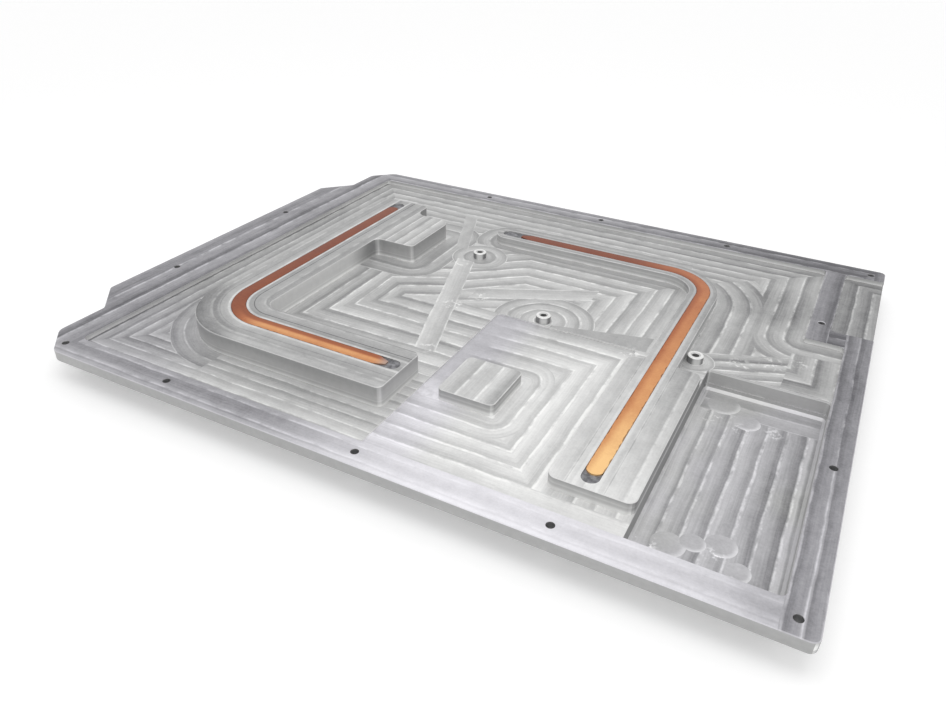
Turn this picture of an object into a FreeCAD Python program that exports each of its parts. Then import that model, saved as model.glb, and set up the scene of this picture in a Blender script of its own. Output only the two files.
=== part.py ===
import FreeCAD, Part
import math
import os

# Milled aluminium heatsink plate with two copper heat pipes let into its raised lands.
# Lengths are in millimetres. X runs along the front edge, Y to the back, Z up.
# Places are given from the front left corner of the plate's body, at the underside of its rim.
# At the end all solids are moved so that the origin is under the middle, at the fin tips.

# Plate outline
body_width = 450.0
body_depth = 377.0
rim_thickness = 6.5
front_left_cut = 18.0
back_left_cut = 16.0
cut_round = 8.0
square_corner_round = 4.0
tab_reach = 20.0
tab_front = 52.0
tab_back = 330.0
tab_slope = 22.0
tab_round = 4.0

# Main recess inside the rim, and the land at rim level that it leaves at the back right
recess_depth = 3.0
rim_left = 21.0
rim_front = 18.0
rim_back = 18.5
rim_right = 15.5
recess_corner = 4.0
land_left = 410.5
land_front = 244.0
land_corner = 1.5
side_recess_left = 424.0
side_recess_front = 262.0

# Step in the recess floor, front middle
step_depth = 0.8
step_left = 224.7
step_back = 180.4
step_corner = 3.0

# Heat pipes: round pipe pressed to a D section, one end spun shut, one end pinched
pipe_width = 9.4
pipe_depth = 5.2
pipe_side = 0.5
pipe_bend = 31.5
pinch_length = 8.0
pinch_share = 0.35
left_pipe_x = 79.0
left_pipe_y = 74.0
left_pipe_back = 280.2
left_pipe_right = 206.0
right_pipe_x = 340.0
right_pipe_y = 293.5
right_pipe_left = 189.3
right_pipe_front = 47.7

# Grooves for the pipes, longer than the pipes, and the solder that fills their ends
groove_clearance = 0.05
plunge_extra = 0.3
solder_recess = 0.8
left_back_space = 9.6
left_right_space = 8.4
right_left_space = 15.8
right_front_space = 7.3

# Tall land that carries the left heat pipe, with its block
tall_land_height = 10.0
leg_outer_margin = 22.0
leg_inner_margin = 22.4
arm_outer_margin = 24.0
arm_inner_margin = 18.5
leg_end_wall = 6.2
arm_end_wall = 2.7
tall_bend_round = 46.5
block_reach = 32.0
block_front = 219.2
block_back = 277.0
tall_corner = 4.0
inner_corner = 8.5
block_inner_corner = 5.0
block_back_corner = 10.0

# Low land that carries the right heat pipe: a wide front block and a strip beside the groove
low_land_height = 3.6
wide_left_margin = 19.6
wide_right_margin = 24.8
wide_end_wall = 4.2
wide_back = 162.0
wide_corner = 5.0
strip_margin = 5.0
strip_foot_corner = 3.0

# Low pad
pad_left = 238.5
pad_right = 273.6
pad_front = 73.8
pad_back = 113.0
pad_corner = 3.5

# Deep pocket beside the low land, with the narrow ledge left on its back wall
pocket_back = 180.7
pocket_depth = 15.6
pocket_corner = 3.0
pocket_floor_break = 1.5
ledge_depth = 11.8
ledge_width = 1.0

# Bosses for the circuit board
boss_diameter = 9.8
boss_height = 4.5
boss_hole = 4.2
boss_hole_depth = 6.0
boss_row_y = 185.8
boss_places = [(172.2, 254.0), (254.7, boss_row_y), (355.2, boss_row_y)]

# Screw holes
rim_hole = 4.5
hole_break = 0.4
hole_inset = 9.5
hole_pitch = 105.8
front_pitched_holes = 3
back_pitched_holes = 4
front_left_holes = [17.0, 100.5]
right_hole = (442.0, 115.0)
tab_holes = [(-6.0, 121.0), (-8.5, 245.0)]
land_hole_place = (417.5, 271.0)
land_hole = 4.2
land_hole_depth = 5.0

# Fins on the underside, left solid under the deep pocket
fin_height = 15.0
fin_thickness = 3.0
fin_gap = 6.2
fin_inset = 16.0
pocket_wall = 2.5

# Small bevel on the top edges of the plate and its lands
edge_break = 0.4

# How far a cutter runs out past the metal, and what counts as no length at all
run_out = 1.0
hair = 0.01

# Levels and places worked out from the sizes above
floor_level = rim_thickness - recess_depth
step_level = floor_level - step_depth
tall_top = rim_thickness + tall_land_height
low_top = rim_thickness + low_land_height
pocket_floor = rim_thickness - pocket_depth
ledge_level = rim_thickness - ledge_depth
cut_above = tall_top + tall_land_height
recess_right = body_width - rim_right
recess_back = body_depth - rim_back
leg_left = left_pipe_x - leg_outer_margin
leg_right = left_pipe_x + leg_inner_margin
arm_front = left_pipe_y - arm_outer_margin
arm_back = left_pipe_y + arm_inner_margin
leg_back = left_pipe_back + left_back_space + leg_end_wall
arm_right = left_pipe_right + left_right_space + arm_end_wall
block_right = leg_right + block_reach
wide_left = right_pipe_x - wide_left_margin
wide_right = right_pipe_x + wide_right_margin
wide_front = right_pipe_front - right_front_space - wide_end_wall
wide_middle = (wide_front + wide_back) / 2
groove_width = pipe_width + 2 * groove_clearance
strip_half = groove_width / 2 + strip_margin
strip_end = right_pipe_left - right_left_space - strip_margin
fin_front = rim_front - pocket_wall
fin_right = recess_right + pocket_wall
fin_back = body_depth - fin_inset
up = FreeCAD.Vector(0, 0, 1)


def vec(x, y, z=0.0):
    return FreeCAD.Vector(x, y, z)


def rounded_wire(corners, level):
    # Closed outline through corners given as (x, y, radius)
    count = len(corners)
    arcs = []
    for index in range(count):
        x, y, radius = corners[index]
        before = corners[index - 1]
        after = corners[(index + 1) % count]
        here = vec(x, y, level)
        back = (vec(before[0], before[1], level) - here).normalize()
        ahead = (vec(after[0], after[1], level) - here).normalize()
        half = back.getAngle(ahead) / 2
        inward = (back + ahead).normalize()
        reach = radius / math.tan(half)
        middle = here + inward * (radius / math.sin(half) - radius)
        arcs.append((here + back * reach, middle, here + ahead * reach))
    edges = []
    for index in range(count):
        start, middle, end = arcs[index]
        following = arcs[(index + 1) % count][0]
        if corners[index][2] > 0:
            edges.append(Part.Arc(start, middle, end).toShape())
        if end.distanceToPoint(following) > hair:
            edges.append(Part.makeLine(end, following))
    return Part.Wire(edges)


def prism(corners, low, high):
    # Upright solid with a rounded outline between two levels
    return Part.Face(rounded_wire(corners, low)).extrude(up * (high - low))


def rectangle(left, front, right, back, radius):
    return [(left, front, radius), (right, front, radius), (right, back, radius), (left, back, radius)]


def box(left, front, low, right, back, high):
    return Part.makeBox(right - left, back - front, high - low, vec(left, front, low))


def bevel_top(solid, level):
    # Breaks every edge of the flat top at this level
    edges = [edge for edge in solid.Edges if edge.BoundBox.ZMin > level - hair]
    return solid.makeChamfer(edge_break, edges)


def drilled(x, y, diameter, low, high):
    return Part.makeCylinder(diameter / 2, high - low, vec(x, y, low))


def tapping_hole(x, y, diameter, depth, top):
    # Blind hole whose mouth is broken for the thread
    radius = diameter / 2
    mouth = Part.makeCone(radius, radius + hole_break, hole_break, vec(x, y, top - hole_break))
    return drilled(x, y, diameter, top - depth, top).fuse(mouth)


def section(place, heading, width, depth, rise):
    # D section across a run: flat top, straight sides and a round bottom
    across = vec(-heading.y, heading.x) * (width / 2)
    left_top = place + across + up * rise
    right_top = place - across + up * rise
    left_shoulder = place + across - up * pipe_side
    right_shoulder = place - across - up * pipe_side
    edges = [Part.makeLine(left_top, right_top), Part.makeLine(right_top, right_shoulder)]
    edges.append(Part.Arc(right_shoulder, place - up * depth, left_shoulder).toShape())
    edges.append(Part.makeLine(left_shoulder, left_top))
    return Part.Face(Part.Wire(edges))


def run(start, end, width, depth, rise):
    # Straight piece of D section between two points
    heading = (end - start).normalize()
    return section(start, heading, width, depth, rise).extrude(end - start)


def headings(path):
    # Directions of the two straight runs of a path
    start, corner, finish = path
    return (corner - start).normalize(), (finish - corner).normalize()


def bent_run(path, width, depth, rise):
    # D section along two straight runs joined by a quarter bend
    start, corner, finish = path
    first, second = headings(path)
    bend_start = corner - first * pipe_bend
    bend_end = corner + second * pipe_bend
    centre = bend_start + second * pipe_bend
    turn = 90 if first.cross(second).z > 0 else -90
    bend = section(bend_start, first, width, depth, rise).revolve(centre, up, turn)
    first_run = run(start, bend_start, width, depth, rise)
    return first_run.multiFuse([bend, run(bend_end, finish, width, depth, rise)]).removeSplitter()


def shifted(path, at_start, at_finish):
    # The same path with its ends moved along their runs, outwards where positive
    first, second = headings(path)
    return path[0] - first * at_start, path[1], path[2] + second * at_finish


def make_pipe(path):
    # Spun shut to a round end at the start, pinched to a narrow tip at the finish
    first, second = headings(path)
    half = pipe_width / 2
    middle = path[0] + first * half
    pinch = path[2] - second * pinch_length
    body = bent_run(shifted(path, -half, -pinch_length), pipe_width, pipe_depth, 0.0)
    post = Part.makeCylinder(half, pipe_depth, middle - up * pipe_depth)
    nose = run(path[0], middle, pipe_width, pipe_depth, 0.0).common(post)
    across = vec(-second.y, second.x) * half
    corners = [pinch + across, pinch - across, path[2] - across * pinch_share, path[2] + across * pinch_share]
    wedge = Part.Face(Part.makePolygon(corners + corners[:1])).extrude(up * -pipe_depth)
    tip = run(pinch, path[2], pipe_width, pipe_depth, 0.0).common(wedge)
    return body.multiFuse([nose, tip]).removeSplitter()


def plunge(middle, rise):
    # Round end of a groove, a little deeper than the groove
    depth = pipe_depth + groove_clearance + plunge_extra
    return Part.makeCylinder(groove_width / 2, depth + rise, middle - up * depth)


def make_groove(path, rise):
    half = groove_width / 2
    inner = shifted(path, -half, -half)
    groove = bent_run(inner, groove_width, pipe_depth + groove_clearance, rise)
    return groove.multiFuse([plunge(inner[0], rise), plunge(inner[2], rise)]).removeSplitter()


def make_fill(groove_end, full_section, pipe):
    # Solder from the groove's end to where the pipe has its full section, a little below the land
    inwards = (full_section - groove_end).normalize()
    middle = groove_end + inwards * (groove_width / 2)
    fill = plunge(middle, 0.0).fuse(run(middle, full_section, pipe_width, pipe_depth, 0.0))
    surface = groove_end.z - solder_recess
    above = box(0, 0, surface, body_width, body_depth, cut_above)
    return fill.cut([above, pipe]).removeSplitter()


def plate_blank():
    # Outline of the rim with its tab, and the finned body below it
    right = body_width
    back = body_depth
    outline = [
        (front_left_cut, 0, cut_round),
        (right, 0, square_corner_round),
        (right, back, square_corner_round),
        (back_left_cut, back, cut_round),
        (0, back - back_left_cut, cut_round),
        (0, tab_back, tab_round),
        (-tab_reach, tab_back - tab_slope, tab_round),
        (-tab_reach, tab_front + tab_slope, tab_round),
        (0, tab_front, tab_round),
        (0, front_left_cut, cut_round),
    ]
    rim = bevel_top(prism(outline, 0, rim_thickness), rim_thickness)
    body = box(fin_inset, fin_front, -fin_height, fin_right, fin_back, 0)
    return rim.fuse(body)


def recesses():
    # Main recess, side recess that is open to the right, and the shallow step
    main = prism([
        (rim_left, rim_front, recess_corner),
        (recess_right, rim_front, recess_corner),
        (recess_right, land_front, recess_corner),
        (land_left, land_front, land_corner),
        (land_left, recess_back, recess_corner),
        (rim_left, recess_back, recess_corner),
    ], floor_level, cut_above)
    side = prism([
        (side_recess_left, side_recess_front, recess_corner),
        (body_width + recess_corner, side_recess_front, 0),
        (body_width + recess_corner, recess_back, 0),
        (side_recess_left, recess_back, recess_corner),
    ], floor_level, cut_above)
    step = prism([
        (step_left, rim_front, 0),
        (wide_right, rim_front, 0),
        (wide_right, wide_middle, 0),
        (wide_left, wide_middle, 0),
        (wide_left, step_back, step_corner),
        (step_left, step_back, step_corner),
    ], step_level, cut_above)
    return [main, side, step]


def tall_land():
    outline = [
        (leg_left, arm_front, tall_bend_round),
        (arm_right, arm_front, tall_corner),
        (arm_right, arm_back, tall_corner),
        (leg_right, arm_back, inner_corner),
        (leg_right, block_front, block_inner_corner),
        (block_right, block_front, tall_corner),
        (block_right, block_back, block_back_corner),
        (leg_right, block_back, inner_corner),
        (leg_right, leg_back, tall_corner),
        (leg_left, leg_back, tall_corner),
    ]
    return bevel_top(prism(outline, 0, tall_top), tall_top)


def low_land():
    strip_left = right_pipe_x - strip_half
    strip_right = right_pipe_x + strip_half
    strip_front = right_pipe_y - strip_half
    strip_back = right_pipe_y + strip_half
    outline = [
        (wide_left, wide_front, wide_corner),
        (wide_right, wide_front, wide_corner),
        (wide_right, wide_back, wide_corner),
        (strip_right, wide_back, strip_foot_corner),
        (strip_right, strip_back, pipe_bend + strip_half),
        (strip_end, strip_back, strip_half),
        (strip_end, strip_front, strip_half),
        (strip_left, strip_front, pipe_bend - strip_half),
        (strip_left, wide_back, strip_foot_corner),
        (wide_left, wide_back, wide_corner),
    ]
    return bevel_top(prism(outline, 0, low_top), low_top)


def pad():
    corners = rectangle(pad_left, pad_front, pad_right, pad_back, pad_corner)
    return bevel_top(prism(corners, 0, low_top), low_top)


def boss(place):
    x, y = place
    post = Part.makeCylinder(boss_diameter / 2, floor_level + boss_height, vec(x, y))
    return bevel_top(post, floor_level + boss_height)


def deep_pocket():
    # Full outline down to the ledge, then a little shorter, with the floor's edge broken
    upper = rectangle(wide_right, rim_front, recess_right, pocket_back, pocket_corner)
    lower = rectangle(wide_right, rim_front, recess_right, pocket_back - ledge_width, pocket_corner)
    foot = prism(lower, pocket_floor, ledge_level)
    edges = [edge for edge in foot.Edges if edge.BoundBox.ZMax < pocket_floor + hair]
    foot = foot.makeChamfer(pocket_floor_break, edges)
    return prism(upper, ledge_level, cut_above).fuse(foot)


def screw_holes():
    last = body_width - hole_inset
    places = [(last - index * hole_pitch, hole_inset) for index in range(front_pitched_holes)]
    places += [(last - index * hole_pitch, body_depth - hole_inset) for index in range(back_pitched_holes)]
    places += [(x, hole_inset) for x in front_left_holes]
    places += [right_hole] + tab_holes
    holes = [drilled(x, y, rim_hole, -fin_height, rim_thickness) for x, y in places]
    x, y = land_hole_place
    holes.append(tapping_hole(x, y, land_hole, land_hole_depth, rim_thickness))
    top = floor_level + boss_height
    holes += [tapping_hole(x, y, boss_hole, boss_hole_depth, top) for x, y in boss_places]
    return holes


def fin_slots():
    # Even slots from front to back, shallow under the deep pocket
    slot_pitch = fin_gap + fin_thickness
    field = fin_right - fin_inset
    count = int((field - fin_thickness) / slot_pitch)
    first = fin_inset + (field - count * slot_pitch + fin_thickness) / 2
    guard_left = wide_right - pocket_wall
    guard_back = pocket_back + pocket_wall
    guard_low = pocket_floor - pocket_wall
    guard = box(guard_left, fin_front - fin_gap, guard_low, fin_right + fin_gap, guard_back, fin_height)
    slots = []
    for index in range(count):
        left = first + index * slot_pitch
        slot = box(left, fin_front - run_out, -fin_height - run_out, left + fin_gap, fin_back + run_out, 0)
        if left + fin_gap > guard_left:
            slot = slot.cut(guard)
        slots.append(slot)
    return slots


def base_plate():
    plate = plate_blank().cut(recesses())
    plate = plate.fuse([tall_land(), low_land(), pad()] + [boss(place) for place in boss_places])
    grooves = [make_groove(left_groove_path, tall_land_height), make_groove(right_groove_path, tall_land_height)]
    plate = plate.cut(grooves + [deep_pocket()] + screw_holes())
    return plate.cut(fin_slots()).removeSplitter()


# Each path has its round end, its corner and its pinched end
left_path = (
    vec(left_pipe_x, left_pipe_back, tall_top),
    vec(left_pipe_x, left_pipe_y, tall_top),
    vec(left_pipe_right, left_pipe_y, tall_top),
)
right_path = (
    vec(right_pipe_x, right_pipe_front, low_top),
    vec(right_pipe_x, right_pipe_y, low_top),
    vec(right_pipe_left, right_pipe_y, low_top),
)
left_groove_path = shifted(left_path, left_back_space, left_right_space)
right_groove_path = shifted(right_path, right_front_space, right_left_space)
left_full = shifted(left_path, -pipe_width / 2, -pinch_length)
right_full = shifted(right_path, -pipe_width / 2, -pinch_length)
left_pipe = make_pipe(left_path)
right_pipe = make_pipe(right_path)
nodes = {
    "base_plate": base_plate(),
    "heat_pipe_left": left_pipe,
    "heat_pipe_right": right_pipe,
    "solder_left_back": make_fill(left_groove_path[0], left_full[0], left_pipe),
    "solder_left_end": make_fill(left_groove_path[2], left_full[2], left_pipe),
    "solder_right_front": make_fill(right_groove_path[0], right_full[0], right_pipe),
    "solder_right_end": make_fill(right_groove_path[2], right_full[2], right_pipe),
}

to_origin = vec(-(body_width - tab_reach) / 2, -body_depth / 2, fin_height)
os.makedirs("parts", exist_ok=True)
for name, shape in nodes.items():
    shape.translate(to_origin)
    shape.exportStep("parts/" + name + ".step")
    print(name, len(shape.Solids), shape.isValid(), round(shape.Volume, 1))
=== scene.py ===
import math

import bpy
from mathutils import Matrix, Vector

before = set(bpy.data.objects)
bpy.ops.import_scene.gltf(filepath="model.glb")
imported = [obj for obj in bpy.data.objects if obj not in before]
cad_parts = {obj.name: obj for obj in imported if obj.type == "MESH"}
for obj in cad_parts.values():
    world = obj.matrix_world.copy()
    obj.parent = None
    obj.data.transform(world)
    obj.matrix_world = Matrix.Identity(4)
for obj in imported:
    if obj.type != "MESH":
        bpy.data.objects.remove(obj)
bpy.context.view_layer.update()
print("frame loaded:", ", ".join(sorted(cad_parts)))

# Places on the plate are in millimetres from the front left corner of its body, at the rim's underside
platePlace = {"left": -0.215, "front": -0.1885, "low": 0.015, "mm": 1000.0}


class Wire:  # a node's output, with arithmetic that adds Math nodes
    def __init__(self, bench, socket):
        self.bench = bench
        self.socket = socket

    def worked(self, operation, *values):
        return self.bench.add("ShaderNodeMath", {"operation": operation}, dict(enumerate(values)))

    def __add__(self, other):
        return self.worked("ADD", self, other)

    def __sub__(self, other):
        return self.worked("SUBTRACT", self, other)

    def __rsub__(self, other):
        return self.worked("SUBTRACT", other, self)

    def __mul__(self, other):
        return self.worked("MULTIPLY", self, other)

    def __truediv__(self, other):
        return self.worked("DIVIDE", self, other)

    def __rtruediv__(self, other):
        return self.worked("DIVIDE", other, self)

    def __neg__(self):
        return self.worked("MULTIPLY", self, -1.0)

    def __abs__(self):
        return self.worked("ABSOLUTE", self)

    def __gt__(self, other):
        return self.worked("GREATER_THAN", self, other)

    def __lt__(self, other):
        return self.worked("LESS_THAN", self, other)

    __radd__ = __add__
    __rmul__ = __mul__

    def least(self, other):
        return self.worked("MINIMUM", self, other)

    def most(self, other):
        return self.worked("MAXIMUM", self, other)

    def root(self):
        return self.worked("SQRT", self)

    def whole(self):
        return self.worked("FLOOR", self)

    def fraction(self):
        return self.worked("FRACT", self)

    def rise(self, low, high):  # 0 below low, 1 above high, smooth between them
        sockets = {"Value": self, "From Min": low, "From Max": high}
        return self.bench.add("ShaderNodeMapRange", {"interpolation_type": "SMOOTHSTEP"}, sockets)

    def fall(self, low, high):  # 1 below low, 0 above high
        return 1.0 - self.rise(low, high)

    def about(self, amount):  # a noise made to swing round zero
        return (self - 0.5) * amount

    def shift(self, other, mask):  # this value where mask is 0, the other where it is 1
        return self.bench.add("ShaderNodeMix", {"data_type": "FLOAT"}, {0: mask, 2: self, 3: other})

    def other(self, name):  # another output of the same node
        return Wire(self.bench, self.socket.node.outputs[name])


class Bench:  # one node tree
    def __init__(self, tree):
        self.tree = tree
        tree.nodes.clear()

    def add(self, kind, settings, sockets, output=0):
        node = self.tree.nodes.new(kind)
        for name, value in settings.items():
            if name == "stops":
                self.setStops(node.color_ramp.elements, value)
            else:
                setattr(node, name, value)
        for name, value in sockets.items():
            if isinstance(value, Wire):
                self.tree.links.new(value.socket, node.inputs[name])
            else:
                node.inputs[name].default_value = value
        return Wire(self, node.outputs[output]) if len(node.outputs) else node

    def setStops(self, elements, stops):
        while len(elements) < len(stops):
            elements.new(1.0)
        for element, (place, colour) in zip(elements, stops):
            element.position = place
            element.color = colour

    def tint(self, mask, dark, light):  # colour between two, by mask
        return self.add("ShaderNodeMix", {"data_type": "RGBA"}, {0: mask, 6: dark, 7: light}, output=2)

    def grain(self, place, scale, detail=2.0, roughness=0.5, output=0):
        sockets = {"Vector": place, "Scale": scale, "Detail": detail, "Roughness": roughness}
        return self.add("ShaderNodeTexNoise", {"noise_dimensions": "3D"}, sockets, output)


def newMaterial(name):
    material = bpy.data.materials.new(name)
    material.use_nodes = True
    return material, Bench(material.node_tree)


def platePoint(bench):  # place on the object, and the same in plate millimetres
    place = bench.add("ShaderNodeTexCoord", {}, {}, output="Object")
    metres = bench.add("ShaderNodeSeparateXYZ", {}, {"Vector": place})
    x = (metres.other("X") - platePlace["left"]) * platePlace["mm"]
    y = (metres.other("Y") - platePlace["front"]) * platePlace["mm"]
    z = (metres.other("Z") - platePlace["low"]) * platePlace["mm"]
    return place, x, y, z


def reach(a, b):  # length of a vector from its two parts
    return (a * a + b * b).root()


def ahead(value):  # the part above zero
    return value.most(0.0)


def fromLine(x, y, start, end):  # distance to the left of a line
    dx, dy = end[0] - start[0], end[1] - start[1]
    span = math.hypot(dx, dy)
    return (y - start[1]) * (dx / span) - (x - start[0]) * (dy / span)


def within(value, low, high):
    return (value > low) * (value < high)


def near(value, middle, half):  # 1 at a value, falling to 0 at half to either side
    return abs(value - middle).fall(half * 0.25, half)


# The milled plate
plateLook = {
    "bosses": [(172.2, 254.0), (254.7, 185.8), (355.2, 185.8)],
    "landHole": (417.5, 271.0),
    "dark": (0.10, 0.10, 0.105, 1.0),
    "light": (0.95, 0.95, 0.94, 1.0),
    "violet": (0.99, 0.975, 1.04, 1.0),  # multiplies the colour where the metal looks cooler
    "metallic": 0.40,
    "roughness": 0.50,
    "wallRoughness": 0.42,
    "roughSwing": 0.16,
    "grainDepth": 0.00006,  # metres
    "waver": 2.2,  # millimetres, how far the passes stray
    "ripple": 0.35,
    "strayScale": 32.0,  # noise scales, per metre
    "rippleScale": 130.0,
    "speckScale": 260.0,
    "fineScale": 700.0,
    "cloudScale": 14.0,
    "streakLength": 45.0,  # millimetres
    "smearLength": 11.0,
    "wallStretch": (14.0, 14.0, 400.0),
    "bevelHighlightTone": 0.40,
    "holeShadeTone": 0.16,
    "rimSideTone": 0.40,
}
markLook = {  # how much each mark of the cutter changes the tone, and how much the painted highlight along the tall land's bottom adds
    "line": 0.30,
    "crest": 0.12,
    "flank": 0.13,
    "pass": 0.08,
    "streak": 0.28,
    "foot": 0.26,
    "cloud": 0.14,
    "smear": 0.20,
    "speck": 0.10,
    "fine": 0.16,
    "crumb": 0.30,
}
plateLevels = {  # millimetres, the heights between which each surface lies
    "step": (2.0, 3.1),
    "floor": (3.1, 5.0),
    "rim": (6.0, 7.0),
    "bossTop": (7.6, 8.4),
    "lowLand": (9.0, 12.0),
    "tallLand": 14.0,  # and above
}
pipeBend = {"radius": 31.5, "left": (110.5, 105.5), "right": (308.5, 262.0)}


def leftPipeOffset(x, y):  # distance outwards from the middle of the left pipe
    bendX, bendY = pipeBend["left"]
    return reach(ahead(bendX - x), ahead(bendY - y)) - pipeBend["radius"]


def rightPipeOffset(x, y):
    bendX, bendY = pipeBend["right"]
    return reach(ahead(x - bendX), ahead(y - bendY)) - pipeBend["radius"]


def toBoss(x, y):  # distance to the nearest boss
    first, second, third = [reach(x - bossX, y - bossY) for bossX, bossY in plateLook["bosses"]]
    return first.least(second).least(third)


# A zone is where it lies, a count of its passes, how light it is and how strongly the passes show. How light
# it is mixes the metal's tone with painted highlight and painted shade.
# The whole tens added to a count keep the passes of two zones from sharing a shade.
rimLook = {
    "frontPass": 10.0,  # millimetres, the width of one pass
    "leftPass": 14.6,
    "backPass": 10.6,
    "rightPass": 7.5,
    "landPass": 14.2,
    "frontTone": 0.32,
    "leftTone": 0.27,
    "backTone": 0.28,
    "rightTone": 0.25,
    "landTone": 0.20,
}


def rimZones(x, y, z):  # the rim's top, with mitred corners
    look = rimLook
    rim = within(z, *plateLevels["rim"])
    front, left = y / look["frontPass"] + 0.55, (x + 6.0) / look["leftPass"]
    back, right = (380.8 - y) / look["backPass"], (450.0 - x) / look["rightPass"]
    # Painted highlight across the middle of the front rim, falling off to the right; painted shade darkens
    # the back and right rims.
    frontTone = look["frontTone"] + x.rise(150.0, 270.0) * 0.46
    frontTone = frontTone - x.rise(315.0, 400.0) * 0.12 - x.rise(395.0, 440.0) * 0.26
    frontTone = frontTone - near(y, 9.0, 4.0) * 0.08 + near(y, 1.5, 2.0) * 0.10
    frontLines = 0.7 - x.rise(200.0, 260.0) * 0.45
    leftTone = look["leftTone"] - x.fall(-14.0, -8.0) * 0.12
    backTone = look["backTone"] - x.rise(180.0, 420.0) * 0.22
    brightLine = near(x, 443.0, 1.2) * y.fall(95.0, 130.0)
    rightTone = look["rightTone"] - y.rise(60.0, 200.0) * 0.10 + brightLine * 0.22
    land = rim * within(x, 410.0, 424.0) * within(y, 244.0, 358.0)
    return [
        (rim, front + 10.0, frontTone, frontLines),
        (rim * (left < front), left + 20.0, leftTone, 1.0),
        (rim * (y > 190.0) * (back < left), back + 30.0, backTone, 0.9),
        (rim * (x > 434.0) * (right < back), right + 40.0, rightTone, 0.6),
        (land, (x - 396.0) / look["landPass"] + 50.0, look["landTone"], 0.8),
    ]


outerLook = {
    "frontPass": 7.7,
    "leftPass": 8.3,
    "backPass": 10.6,
    "bendPass": 8.75,
    "frontTone": 0.30,
    "leftTone": 0.31,
    "backTone": 0.42,
    "bendTone": 0.34,
}


def outerFloorZones(x, y, floor):  # between the rim and the lands
    look = outerLook
    front = (y - 21.8) / look["frontPass"] + 2.0
    left = (x - 23.1) / look["leftPass"] + 2.0
    back = (359.6 - y) / look["backPass"] + 2.0
    corner = reach(x - 20.0, y - 20.0)
    # Painted highlight: the front floor lightens away from the front left corner; painted shade darkens the
    # back floor to the right.
    frontTone = look["frontTone"] + corner.rise(20.0, 110.0) * 0.20 + x.rise(120.0, 220.0) * 0.06
    backTone = look["backTone"] - x.rise(200.0, 400.0) * 0.08
    bend = reach(x - 103.5, y - 96.5)
    inBend = floor * (x < 103.5) * (y < 96.5) * (bend < 64.0)
    return [
        (floor, front + 60.0, frontTone, 0.9),
        (floor * (left < front), left + 70.0, look["leftTone"], 1.0),
        (floor * (y > 190.0) * (back < left), back + 80.0, backTone, 1.0),
        (inBend, (bend - 46.5) / look["bendPass"] + 90.0, look["bendTone"], 0.7),
    ]


middleLook = {
    "nestPassX": 11.1,
    "nestPassY": 13.4,
    "nestPassSlant": 13.7,
    "blockPass": 12.0,
    "acrossPass": 12.9,
    "levelPass": 13.05,
    "uprightPass": 11.0,
    "lowerPass": 11.5,
    "stripPass": 10.5,
    "firstBossPass": 8.5,
    "secondBossPass": 9.25,
    "upperPass": 10.0,
    "straightPass1": 14.0,
    "straightPass2": 15.4,
}


def middleZones(x, y, floor):  # inside the tall land and on to the right pipe
    look = middleLook
    slant = ((x - 120.4) * 0.485 - (y - 199.3) * 0.875) / look["nestPassSlant"] + 2.0
    nested = ((x - 112.0) / look["nestPassX"] + 1.0).least((y - 116.2) / look["nestPassY"] + 1.0)
    nested = nested.least(slant)
    nestedTone = 0.50 + x.rise(150.0, 200.0) * y.fall(100.0, 130.0) * 0.14
    inNest = floor * within(x, 101.4, 225.0) * within(y, 92.5, 300.0)
    block = reach(ahead(x - 133.4), ahead(abs(y - 248.0) - 29.0))
    byBlock = floor * (x > 101.4) * (y > 190.0) * (block < 24.0)
    # right of the first straight pass
    pass1 = fromLine(x, y, (169.3, 235.7), (205.7, 118.7))
    pass2 = fromLine(x, y, (192.3, 196.4), (266.6, 234.4))
    middle = floor * (pass1 > 0.0) * (y > 180.4) * (x < 330.4) * (y < 284.0)
    across = ((x - 182.7) * 0.643 - (y - 229.4) * 0.766) / look["acrossPass"] + 3.0
    level, upright = (294.3 - y) / look["levelPass"], (329.0 - x) / look["uprightPass"]
    lower = middle * (pass2 < 0.0) * (x < 262.0)
    # rings round the bosses and the end of the strip
    rings1, rings2 = [reach(x - bossX, y - bossY) for bossX, bossY in plateLook["bosses"][:2]]
    strip = reach(ahead(183.4 - x), abs(y - 293.5))
    byStrip = floor * (strip < 30.8) * (x < 320.0) * (y > 276.0)
    wedge = (fromLine(x, y, (258.7, 181.9), (324.9, 199.2)) < 0.0) * within(x, 262.0, 326.0) * (y > 180.4)
    # the straight passes lie over all these
    upper = fromLine(x, y, (129.0, 322.0), (161.0, 240.0))
    onUpper = floor * (abs(upper) < 5.0) * within(y, 262.0, 322.0)
    onPass1 = floor * (abs(pass1 + 1.2) < 7.0) * within(y, 115.0, 244.0)
    onPass2 = floor * (abs(pass2) < 7.7) * within(x, 196.0, 272.0) * (pass1 > 5.9)
    return [
        (inNest, nested + 100.0, nestedTone, 1.2),
        (byBlock, block / look["blockPass"] + 110.0, 0.47, 0.9),
        (middle, level.least(across).least(upright) + 120.0, 0.54, 1.2),
        (middle * (upright < level), upright + 130.0, 0.52, 1.0),
        (lower, pass2 / -look["lowerPass"] + 140.0, 0.52, 1.1),
        (lower * (x > 225.0) * (y < 215.0), y / 60.0 + 150.0, 0.54, 0.3),
        (byStrip, (strip - 9.75) / look["stripPass"] + 160.0, 0.44, 0.9),
        (floor * (rings1 < 21.5), (rings1 - 4.5) / look["firstBossPass"] + 170.0, 0.46, 0.9),
        (floor * (rings2 < 34.4) * (y > 180.4), (rings2 - 6.6) / look["secondBossPass"] + 180.0, 0.54, 1.0),
        (floor * wedge, x / 90.0 + 190.0, 0.36, 0.1),
        (onUpper, upper / look["upperPass"] + 200.5, 0.46, 0.4),
        (onPass1, pass1 / look["straightPass1"] + 210.58, 0.56, 0.8),
        (onPass2, pass2 / look["straightPass2"] + 220.5, 0.53, 0.8),
    ]


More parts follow.
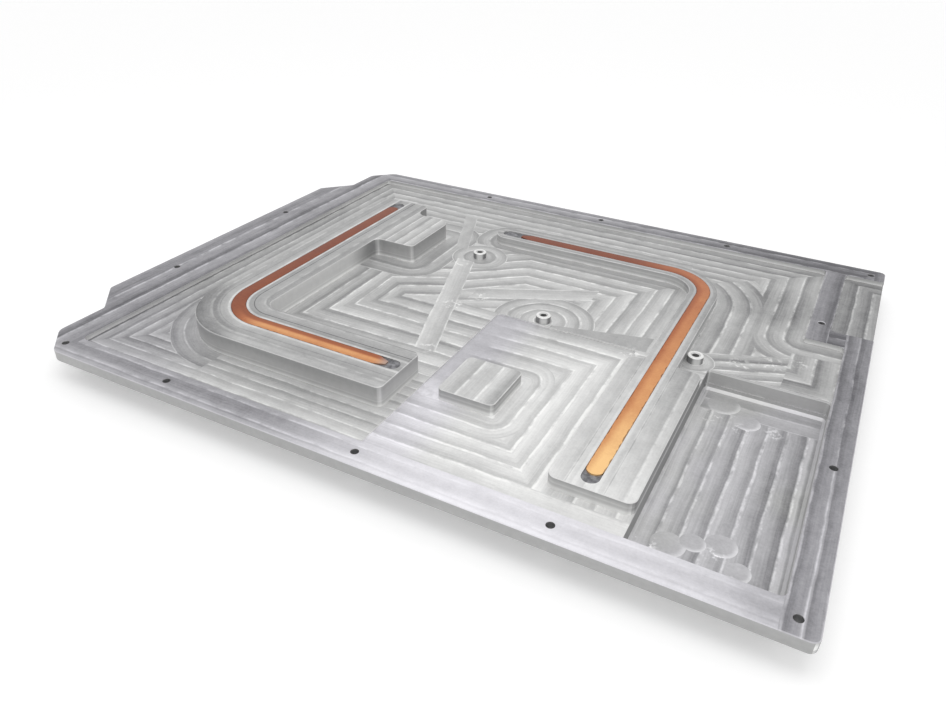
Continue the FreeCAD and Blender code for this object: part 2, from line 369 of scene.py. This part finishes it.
backRightLook = {
    "cornerPass": 11.9,
    "arcPass": 11.7,
    "slantedPass": 9.5,
    "innerPassX": 13.6,
    "innerPassY": 13.0,
    "bossPass": 7.0,
    "recessPassX": 10.5,
    "recessPassY": 8.2,
}


def backRightZones(x, y, floor):  # between the right pipe and the rim
    look = backRightLook
    mitre = fromLine(x, y, (354.3, 311.1), (404.8, 351.2))
    corner = reach(ahead(410.5 - x), ahead(244.0 - y))
    arcs = reach(ahead(x - pipeBend["right"][0]), ahead(y - pipeBend["right"][1]))
    right = floor * (x > 308.5) * (mitre < 0.0) * (y > 180.7) * (arcs > 41.0)
    rightPasses = (corner / look["cornerPass"]).least((arcs - 41.2) / look["arcPass"])
    rightTone = 0.40 - reach(x - 385.0, y - 285.0).fall(12.0, 40.0) * 0.14
    slanted = fromLine(x, y, (352.0, 196.0), (400.0, 216.0))
    inner = ((434.5 - x) / look["innerPassX"]).least((y - 180.7) / look["innerPassY"])
    innerTone = 0.32 + x.rise(420.0, 432.0) * 0.12
    bossX, bossY = plateLook["bosses"][2]
    rings3 = reach(x - bossX, y - bossY)
    recess = ((x - 424.0) / look["recessPassX"]).least((358.5 - y) / look["recessPassY"])
    return [
        (right, rightPasses + 230.0, rightTone, 1.0),
        (right * (slanted < 0.0) * (x < 412.0), slanted / -look["slantedPass"] + 240.0, 0.35, 1.3),
        (right * (x > 406.0) * (y < 226.0), inner + 250.0, innerTone, 1.0),
        (floor * (rings3 < 12.0), (rings3 - 5.0) / look["bossPass"] + 260.0, 0.54, 0.8),
        (floor * (x > 423.0) * (y > 262.0), recess + 270.0, 0.20, 0.9),
    ]


stepLook = {
    "padRight": 273.6,
    "padBack": 113.0,
    "padFront": 73.8,
    "sidePass": 10.6,
    "backPass": 13.6,
    "frontPass": 10.8,
    "roundPasses": 1.7,  # this many passes round the pad have round corners
    "tone": 0.68,
}


def stepZones(x, y, z):  # nested round the pad, open to the left
    look = stepLook
    step = within(z, *plateLevels["step"])
    frontwards = (look["padFront"] - y) / look["frontPass"]
    sideways = (x - look["padRight"]) / look["sidePass"]
    lengthways = ((y - look["padBack"]) / look["backPass"]).most(frontwards)
    rounded, square = reach(ahead(sideways), ahead(lengthways)), sideways.most(lengthways)
    faded = 1.0 - x.fall(228.0, 256.0) * y.rise(60.0, 100.0) * 0.9
    tone = look["tone"] - x.fall(230.0, 290.0) * y.rise(40.0, 120.0) * 0.22
    tone = tone + reach(x - 266.0, y - 80.0).fall(20.0, 50.0) * 0.10
    tone = tone + x.rise(285.0, 300.0) * 0.04 - y.rise(150.0, 178.0) * x.rise(255.0, 275.0) * 0.22
    return [
        (step, rounded.shift(square, rounded > look["roundPasses"]) + 280.0, tone, faded),
        (step * (y < 32.0) * (x > 300.0), frontwards + 290.0, 0.76, 0.6),
    ]


pocketLook = {
    "longPass": 10.6,
    "backPass": 11.0,
    "frontPass": 14.5,
    "tone": 0.46,
    "plunges": [  # middle and radius of each circle
        (382.0, 40.2, 8.3),
        (404.0, 51.0, 7.5),
        (413.8, 38.1, 6.0),
        (395.1, 155.1, 7.5),
        (379.6, 166.5, 9.5),
        (392.0, 47.0, 6.0),
    ],
}


def pocketZones(x, y, z):  # long passes, with the circles where the cutter went in
    look = pocketLook
    deep = z < 0.0
    tone = look["tone"] - x.rise(370.0, 425.0) * 0.10 + near(x, 370.0, 6.0) * 0.26
    # Painted shade darkens the floor along the bottom of the pocket's west wall.
    tone = tone + near(x, 430.0, 2.5) * 0.22 - x.fall(364.8, 366.4) * 0.30
    offWall = deep * (x > 367.6)
    zones = [
        (deep, (x - 364.8) / look["longPass"] + 300.0, tone, 1.1),
        (offWall * (y > 158.0), (180.0 - y) / look["backPass"] + 310.0, 0.44, 0.6),
        (offWall * (y < 33.0), (y - 18.0) / look["frontPass"] + 312.0, 0.48, 0.8),
    ]
    for index, (middleX, middleY, radius) in enumerate(look["plunges"]):
        away = reach(x - middleX, y - middleY) / radius
        # Each circle has a painted highlight crescent on one side.
        lit = (x - y - (middleX - middleY)).rise(-2.0, radius)
        crescent = look["tone"] + away.rise(0.6, 0.95) * lit * 0.24
        zones.append((deep * (away < 1.0), x * 0.0 + 314.4 + index, crescent, 0.4))
    return zones


landLook = {
    "tallPass": 11.0,
    "blockPass": 8.2,
    "lowPass": 9.8,
    "padPass": 11.8,
    "tallTone": 0.35,
    "blockTone": 0.48,
    "lowTone": 0.60,
    "padTone": 0.52,
    "pipeEdge": 5.6,  # millimetres, a light band this far from a pipe's middle
    "scribe": 9.8,  # a thin dark line this far from it
}


def landZones(x, y, z):  # tops of the lands, the pad and the bosses
    look = landLook
    tall, low = z > plateLevels["tallLand"], within(z, *plateLevels["lowLand"])
    left, right = leftPipeOffset(x, y), rightPipeOffset(x, y)
    tallTone = look["tallTone"] + near(abs(left), look["pipeEdge"], 1.6) * 0.18
    tallTone = tallTone - near(left, -look["scribe"], 0.5) * 0.26 - near(left, 11.4, 0.5) * 0.12
    inBend = x.fall(96.0, 116.0) * y.fall(92.0, 112.0)
    tallTone = tallTone - inBend * left.rise(11.0, 14.0) * 0.15
    tallTone = tallTone + left.rise(18.0, 20.5) * (1.0 - inBend) * 0.10
    lowTone = look["lowTone"] + near(abs(right), look["pipeEdge"], 1.6) * 0.10
    lowTone = lowTone - near(abs(right), look["scribe"], 0.5) * 0.18
    # Painted highlight towards the front of the low land, painted shade towards its back.
    lowTone = lowTone - y.rise(90.0, 260.0) * 0.24 + y.fall(24.0, 80.0) * 0.16
    lowTone = lowTone - right.fall(-8.0, -4.0) * y.rise(90.0, 180.0) * 0.06
    lowTone = lowTone - right.rise(8.0, 11.0) * y.rise(40.0, 170.0) * 0.16
    padTone = look["padTone"] + near(x, 262.0, 7.0) * 0.14
    bossTone = 0.45 + toBoss(x, y).rise(2.6, 3.4) * 0.40  # a light top, with painted shade darkening it round the bore's mouth
    return [
        (tall, left / look["tallPass"] + 330.5, tallTone, 0.5),
        (tall * (x > 101.4) * (y > 200.0), (x - 101.4) / look["blockPass"] + 340.0, look["blockTone"], 0.9),
        (low, right / look["lowPass"] + 350.0, lowTone, 0.5),
        (low * (x < 300.0) * (y < 200.0), (x - 238.5) / look["padPass"] + 370.0, padTone, 0.9),
        (within(z, *plateLevels["bossTop"]), x / 90.0 + 380.5, bossTone, 0.1),
    ]


crumbPlaces = [  # middle and radius of each torn patch
    (372, 36, 8), (388, 30, 7), (402, 44, 6), (412, 30, 6), (376, 152, 8),
    (393, 147, 7), (410, 152, 7), (318, 176, 8), (398, 206, 10), (380, 196, 9),
    (412, 214, 7), (192, 176, 9), (204, 196, 7), (165, 238, 7), (206, 118, 7),
]


def crumbs(x, y, z, speck):  # bright torn spots where passes end
    cover = x * 0.0
    for middleX, middleY, radius in crumbPlaces:
        cover = cover.most(reach(x - middleX, y - middleY).fall(radius * 0.4, radius))
    return cover * speck.rise(0.52, 0.62) * (z < plateLevels["floor"][1])


holeLook = {
    "frontRow": (4.0, 15.0),  # narrow bands of the rim in which the screw holes lie
    "backRow": (362.0, 373.0),
    "rightBand": (437.0, 447.0),
    "rightRow": (109.0, 121.0),
    "tabBand": (-12.0, -2.0),
    "tabRows": (100.0, 260.0),
    "height": (-0.1, 6.2),
    "boreRadius": 2.3,
}


def holeWalls(x, y, z):  # the sides of the screw holes and the threaded bores
    look = holeLook
    rightHole = within(x, *look["rightBand"]) * within(y, *look["rightRow"])
    rows = within(y, *look["frontRow"]).most(within(y, *look["backRow"])).most(rightHole)
    tabs = within(x, *look["tabBand"]) * within(y, *look["tabRows"])
    holeX, holeY = plateLook["landHole"]
    bores = reach(x - holeX, y - holeY).least(toBoss(x, y))
    return (rows.most(tabs) * within(z, *look["height"])).most(bores < look["boreRadius"])


wallLook = {
    "facing": 0.7,  # how squarely a wall faces a side to count as facing it
    "tone": 0.42,
    "legTone": 0.70,
    "pocketTone": 0.26,
    "turnHighlight": 0.16,
    "ledgeHighlight": 7.0,  # millimetres, a thin painted highlight at this height, the lit top of a small ledge
    "footLight": 0.34,
    "bossRadius": 5.2,
    "bossShadedSide": 0.16,
    "bossLitSide": 0.55,
}


def wallTone(x, y, z, east, south):  # the upright faces, with painted light and painted shade by where they are and where they face
    look = wallLook
    toSouth, toEast = south > look["facing"], east > look["facing"]
    # Painted light and shade: south-facing walls lighter, the upper parts of tall walls darker.
    tone = look["tone"] + toSouth * (0.05 + x.rise(240.0, 300.0) * 0.04)
    tone = tone - z.rise(8.0, 15.0) * 0.12 - z.rise(7.5, 9.5) * x.rise(225.0, 240.0) * 0.10
    tone = tone + toEast * within(x, 204.0, 235.0) * 0.10
    # Painted light on the leg's east face, fading towards the back; painted shade on the pocket's west face.
    legSide = look["legTone"] - y.rise(182.0, 212.0) * 0.44
    tone = tone.shift(legSide, toEast * within(x, 100.0, 104.0))
    tone = tone + toEast * (x < 22.0) * 0.14
    tone = tone - within(x, 230.0, 275.0) * within(y, 66.0, 118.0) * 0.05
    pocketSide = look["pocketTone"] - y.rise(20.0, 90.0) * 0.08
    tone = tone.shift(pocketSide, toEast * within(x, 363.0, 366.0))
    tone = tone + (x > 364.0) * toSouth * (y > 170.0) * 0.02
    turning = (east * south).rise(0.35, 0.48)  # a narrow painted highlight where a wall turns the corner
    # A thin painted highlight at the ledge height.
    tone = tone + turning * look["turnHighlight"] + near(z, look["ledgeHighlight"], 0.7) * 0.08
    # Painted highlight along the bottom of each wall.
    tone = tone + z.fall(3.6, 6.0) * (z > 2.0) * look["footLight"]
    # Boss sides: painted light on the sides facing south and east, painted shade on the others.
    bossTone = look["bossShadedSide"] + (south * 0.85 + east * 0.4).rise(0.72, 0.93) * look["bossLitSide"]
    return tone.shift(bossTone, toBoss(x, y) < look["bossRadius"])


def coolPlaces(x, y, z, cloud):  # where the metal looks slightly violet
    rim = within(z, *plateLevels["rim"]) * 0.9
    step = within(z, *plateLevels["step"]) * x.fall(240.0, 265.0) * 0.9
    pocket = (z < 0.0) * cloud.rise(0.4, 0.6) * 0.6
    corner = within(z, *plateLevels["floor"]) * reach(x, y).fall(60.0, 130.0) * 0.6
    return rim + step + pocket + corner


def strayed(bench, place, x, y):  # plate millimetres made to waver, as hand-set passes do
    look = plateLook
    for scale, amount in ((look["strayScale"], look["waver"]), (look["rippleScale"], look["ripple"])):
        noise = bench.grain(place, scale, output="Color")
        sides = bench.add("ShaderNodeSeparateXYZ", {}, {"Vector": noise})
        x, y = x + sides.about(amount), y + sides.other("Y").about(amount)
    return x, y


def makeAluminium():
    look, marks = plateLook, markLook
    material, bench = newMaterial("milled_aluminium")
    place, x, y, z = platePoint(bench)
    normal = bench.add("ShaderNodeNewGeometry", {}, {}, output="Normal")
    turned = bench.add("ShaderNodeSeparateXYZ", {}, {"Vector": normal})
    facing = turned.other("Z")
    faceUp = facing > 0.5
    bevel = faceUp * (facing < 0.95)
    px, py = strayed(bench, place, x, y)
    floor = within(z, *plateLevels["floor"])
    zones = rimZones(px, py, z) + outerFloorZones(px, py, floor) + middleZones(px, py, floor)
    zones = zones + backRightZones(px, py, floor) + stepZones(px, py, z)
    zones = zones + pocketZones(px, py, z) + landZones(x, y, z)
    # shade gathers each zone's tone, with its painted highlight and painted shade
    passes, shade, lined = px / 10.0, px * 0.0 + 0.4, px * 0.0 + 0.6
    for mask, count, light, lines in zones:
        passes = passes.shift(count, mask)
        shade = shade.shift(light, mask)
        lined = lined.shift(lines, mask)
    # marks across a pass, along it and over the whole plate
    part = passes.fraction()
    chance = bench.add("ShaderNodeTexWhiteNoise", {"noise_dimensions": "1D"}, {"W": passes.whole()})
    long, short = look["streakLength"], look["smearLength"]
    alongPass = bench.add("ShaderNodeCombineXYZ", {}, {"X": passes * 10.0, "Y": px / long, "Z": py / long})
    acrossPass = bench.add("ShaderNodeCombineXYZ", {}, {"X": passes * 1.3, "Y": px / short, "Z": py / short})
    streak = bench.grain(alongPass, 1.0)
    smear = bench.grain(acrossPass, 1.0, 3.0, 0.6)
    speck = bench.grain(place, look["speckScale"], 3.0, 0.6)
    fine = bench.grain(place, look["fineScale"], 2.0, 0.7)
    cloud = bench.grain(place, look["cloudScale"])
    nearLine = part.least(1.0 - part) + speck.about(0.16)
    line = nearLine.fall(0.0, 0.11) * smear.rise(0.34, 0.60)
    crest = part.rise(0.0, 0.08) * part.fall(0.10, 0.55) * (0.4 + chance * 0.6)
    flank = part.rise(0.45, 0.85) * part.fall(0.90, 0.97) * (1.2 - chance * 0.6)
    # Painted highlight on the floor along the bottom of the tall land's outer side.
    foot = near(leftPipeOffset(x, y), 16.8, 2.6) * floor * x.fall(204.0, 214.0) * y.fall(290.0, 320.0)
    marked = line * marks["line"] + crest * marks["crest"] - flank * marks["flank"]
    marked = marked + chance.about(marks["pass"]) + streak.about(marks["streak"])
    tone = shade + lined * marked + foot * marks["foot"]
    tone = tone + cloud.about(marks["cloud"]) + smear.about(marks["smear"])
    tone = tone + speck.about(marks["speck"]) + fine.about(marks["fine"])
    tone = tone + crumbs(px, py, z, speck) * marks["crumb"]
    # Chamfer faces get a painted highlight.
    tone = tone.shift(tone * 0.5 + look["bevelHighlightTone"], bevel)
    # walls
    stretched = bench.add("ShaderNodeMapping", {}, {"Vector": place, "Scale": look["wallStretch"]})
    grooves = bench.grain(stretched, 1.0)
    rimSide = (x < 0.6).most(x > 449.4).most(y < 0.6).most(y > 376.4)
    walls = wallTone(x, y, z, turned, -turned.other("Y")).shift(look["rimSideTone"], rimSide)
    # Painted shade inside the screw holes and bores.
    walls = walls.shift(look["holeShadeTone"], holeWalls(x, y, z))
    walls = walls + grooves.about(0.10) + cloud.about(0.10) + speck.about(0.12)
    # the two together
    colour = bench.tint(walls.shift(tone, faceUp), look["dark"], look["light"])
    cool = coolPlaces(x, y, z, cloud) * faceUp
    multiplied = {"data_type": "RGBA", "blend_type": "MULTIPLY"}
    colour = bench.add("ShaderNodeMix", multiplied, {0: cool, 6: colour, 7: look["violet"]}, output=2)
    topRough = look["roughness"] + streak.about(look["roughSwing"])
    rough = (look["wallRoughness"] + grooves * 0.1).shift(topRough, faceUp)
    height = speck * 0.5 + fine * 0.3
    deep = look["grainDepth"]
    bump = bench.add("ShaderNodeBump", {}, {"Strength": 1.0, "Distance": deep, "Height": height})
    sockets = {"Base Color": colour, "Metallic": look["metallic"], "Roughness": rough, "Normal": bump}
    shader = bench.add("ShaderNodeBsdfPrincipled", {}, sockets)
    bench.add("ShaderNodeOutputMaterial", {}, {"Surface": shader})
    return material


# The copper pipes
copperLook = {
    "stops": [  # from dark copper to the bright copper of the painted highlight
        (0.00, (0.185, 0.036, 0.012, 1.0)),
        (0.40, (0.44, 0.140, 0.052, 1.0)),
        (0.70, (0.68, 0.315, 0.130, 1.0)),
        (1.00, (0.95, 0.600, 0.270, 1.0)),
    ],
    "edge": (0.10, 0.035, 0.02, 1.0),
    "edgeStrength": 0.7,
    "tip": (0.42, 0.34, 0.31, 1.0),
    "tipReach": (3.0, 13.0),  # millimetres from the tip
    "halfWidth": 4.7,
    "crown": 0.00010,  # metres, how far the pressed pipe still bulges
    "cloudScale": 55.0,
    "raggedScale": 260.0,
    "fineScale": 800.0,
    "metallic": 0.6,
    "roughness": 0.35,
    "specular": 0.25,
}


def leftPaintedHighlight(x, y, outwards):  # painted highlight along the front run, strongest on its outer half; darker up the side
    run = x.rise(84.0, 118.0) * y.fall(84.0, 120.0)
    lit = outwards.rise(-2.6, 0.4) * (0.36 + near(outwards, 0.6, 3.0) * 0.10)
    return 0.04 + run * (0.16 + lit) + y.fall(100.0, 180.0) * 0.06


def rightPaintedHighlight(x, y, outwards):  # painted highlight, brightest at the near end and on the outer half, fading round the bend
    leg = (y.fall(15.0, 120.0) + y.fall(60.0, 290.0)) * 0.34
    return 0.05 + x.rise(270.0, 330.0) * (0.18 + leg + outwards.rise(-4.6, 0.5) * 0.22)


def makeCopper(name, offset, paintedHighlight, tipPlace, tipStrength):
    look = copperLook
    material, bench = newMaterial(name)
    place, x, y, z = platePoint(bench)
    cloud = bench.grain(place, look["cloudScale"], 3.0)
    fine = bench.grain(place, look["fineScale"], 2.0, 0.7)
    ragged = bench.grain(place, look["raggedScale"])
    outwards = offset(x, y)
    side = abs(outwards)
    highlighted = paintedHighlight(x, y, outwards) + cloud.about(0.20) + ragged.about(0.10) + fine.about(0.14)
    colour = bench.add("ShaderNodeValToRGB", {"stops": look["stops"]}, {"Fac": highlighted})
    # A dark line along both sides of the pipe: painted shade in the gap to the groove.
    edge = (side + ragged.about(2.2)).rise(look["halfWidth"] - 0.6, look["halfWidth"] - 0.1)
    colour = bench.tint(edge * look["edgeStrength"], colour, look["edge"])
    toTip = reach(x - tipPlace[0], y - tipPlace[1]) + ragged.about(3.0)
    colour = bench.tint(toTip.fall(*look["tipReach"]) * tipStrength, colour, look["tip"])
    crown = 1.0 - (side / look["halfWidth"]) * (side / look["halfWidth"])
    height = crown + cloud.about(0.15) + fine * 0.05
    bump = bench.add("ShaderNodeBump", {}, {"Strength": 1.0, "Distance": look["crown"], "Height": height})
    sockets = {
        "Base Color": colour,
        "Metallic": look["metallic"],
        "Roughness": look["roughness"] + cloud.about(0.15),
        "Specular IOR Level": look["specular"],
        "Normal": bump,
    }
    shader = bench.add("ShaderNodeBsdfPrincipled", {}, sockets)
    bench.add("ShaderNodeOutputMaterial", {}, {"Surface": shader})
    return material


# The solder at the groove ends
solderLook = {
    "dark": (0.10, 0.10, 0.11, 1.0),
    "light": (0.30, 0.30, 0.315, 1.0),
    "metallic": 0.4,
    "roughness": 0.5,
    "lumpScale": 350.0,
    "lumpDepth": 0.0003,  # metres
}


def makeSolder():
    look = solderLook
    material, bench = newMaterial("dull_solder")
    place = bench.add("ShaderNodeTexCoord", {}, {}, output="Object")
    lumps = bench.grain(place, look["lumpScale"], 3.0)
    colour = bench.tint(lumps.rise(0.3, 0.7), look["dark"], look["light"])
    bump = bench.add("ShaderNodeBump", {}, {"Strength": 0.8, "Distance": look["lumpDepth"], "Height": lumps})
    rough = look["roughness"] + lumps.about(0.3)
    sockets = {"Base Color": colour, "Metallic": look["metallic"], "Roughness": rough, "Normal": bump}
    shader = bench.add("ShaderNodeBsdfPrincipled", {}, sockets)
    bench.add("ShaderNodeOutputMaterial", {}, {"Surface": shader})
    return material


def dress(node, material):
    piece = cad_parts[node]
    for slot in piece.material_slots:
        slot.material = material


dress("base_plate", makeAluminium())
dress("heat_pipe_left", makeCopper("copper_left", leftPipeOffset, leftPaintedHighlight, (210.0, 74.0), 0.8))
dress("heat_pipe_right", makeCopper("copper_right", rightPipeOffset, rightPaintedHighlight, (340.0, 27.0), 0.0))
solder = makeSolder()
for node in ("solder_left_back", "solder_left_end", "solder_right_front", "solder_right_end"):
    dress(node, solder)
print("materials made")


# Floor, light and camera
stageLook = {
    "floorHalf": 4.0,
    "floorColour": (0.76, 0.76, 0.76, 1.0),
    "floorGlow": (0.34, 0.34, 0.34, 1.0),
    "worldLight": 0.80,
    "boxPlace": (0.13, -0.24, 0.80),
    "boxSize": (0.60, 0.45),
    "boxPower": 1.6,
    "boxTarget": (0.11, -0.16, 0.02),
}


def seenByEye(bench):  # 1 for rays from the camera, from gloss and through glass
    path = bench.add("ShaderNodeLightPath", {}, {}, output="Is Camera Ray")
    return path.most(path.other("Is Glossy Ray")).most(path.other("Is Transmission Ray"))


def makeFloor():
    half = stageLook["floorHalf"]
    mesh = bpy.data.meshes.new("floor")
    corners = [(-half, -half, 0.0), (half, -half, 0.0), (half, half, 0.0), (-half, half, 0.0)]
    mesh.from_pydata(corners, [], [(0, 1, 2, 3)])
    floor = bpy.data.objects.new("floor", mesh)
    bpy.context.scene.collection.objects.link(floor)
    material, bench = newMaterial("pale_floor")
    place = bench.add("ShaderNodeTexCoord", {}, {}, output="Object")
    speck = bench.grain(place, 30.0)
    glow = bench.tint(seenByEye(bench), (0.0, 0.0, 0.0, 1.0), stageLook["floorGlow"])
    sockets = {
        "Base Color": stageLook["floorColour"],
        "Roughness": 0.75 + speck.about(0.1),
        "Emission Color": glow,
        "Emission Strength": 1.0,
    }
    shader = bench.add("ShaderNodeBsdfPrincipled", {}, sockets)
    bench.add("ShaderNodeOutputMaterial", {}, {"Surface": shader})
    mesh.materials.append(material)


def makeWorld():
    world = bpy.data.worlds.new("studio")
    bpy.context.scene.world = world
    world.use_nodes = True
    bench = Bench(world.node_tree)
    strength = seenByEye(bench) * (1.0 - stageLook["worldLight"]) + stageLook["worldLight"]
    white = bench.add("ShaderNodeBackground", {}, {"Color": (1.0, 1.0, 1.0, 1.0), "Strength": strength})
    bench.add("ShaderNodeOutputWorld", {}, {"Surface": white})


def makeSoftBox():
    lamp = bpy.data.lights.new("soft_box", "AREA")
    lamp.shape = "RECTANGLE"
    lamp.size, lamp.size_y = stageLook["boxSize"]
    lamp.energy = stageLook["boxPower"]
    box = bpy.data.objects.new("soft_box", lamp)
    bpy.context.scene.collection.objects.link(box)
    box.location = stageLook["boxPlace"]
    aim = Vector(stageLook["boxTarget"]) - box.location
    box.rotation_euler = aim.to_track_quat("-Z", "Y").to_euler()


cameraLook = {
    "place": (0.2026155, -0.4207414, 0.2649248),
    "turn": (57.77659, -1.27379, 27.90944),
    "lens": 29.35924,
}


def makeCamera():
    lens = bpy.data.cameras.new("camera")
    lens.sensor_fit = "HORIZONTAL"
    lens.sensor_width = 36.0
    lens.lens = cameraLook["lens"]
    lens.clip_start = 0.01
    camera = bpy.data.objects.new("camera", lens)
    bpy.context.scene.collection.objects.link(camera)
    camera.location = cameraLook["place"]
    camera.rotation_euler = [math.radians(angle) for angle in cameraLook["turn"]]
    bpy.context.scene.camera = camera


makeFloor()
makeWorld()
makeSoftBox()
makeCamera()
bpy.context.scene.view_settings.view_transform = "Standard"
print("stage set")
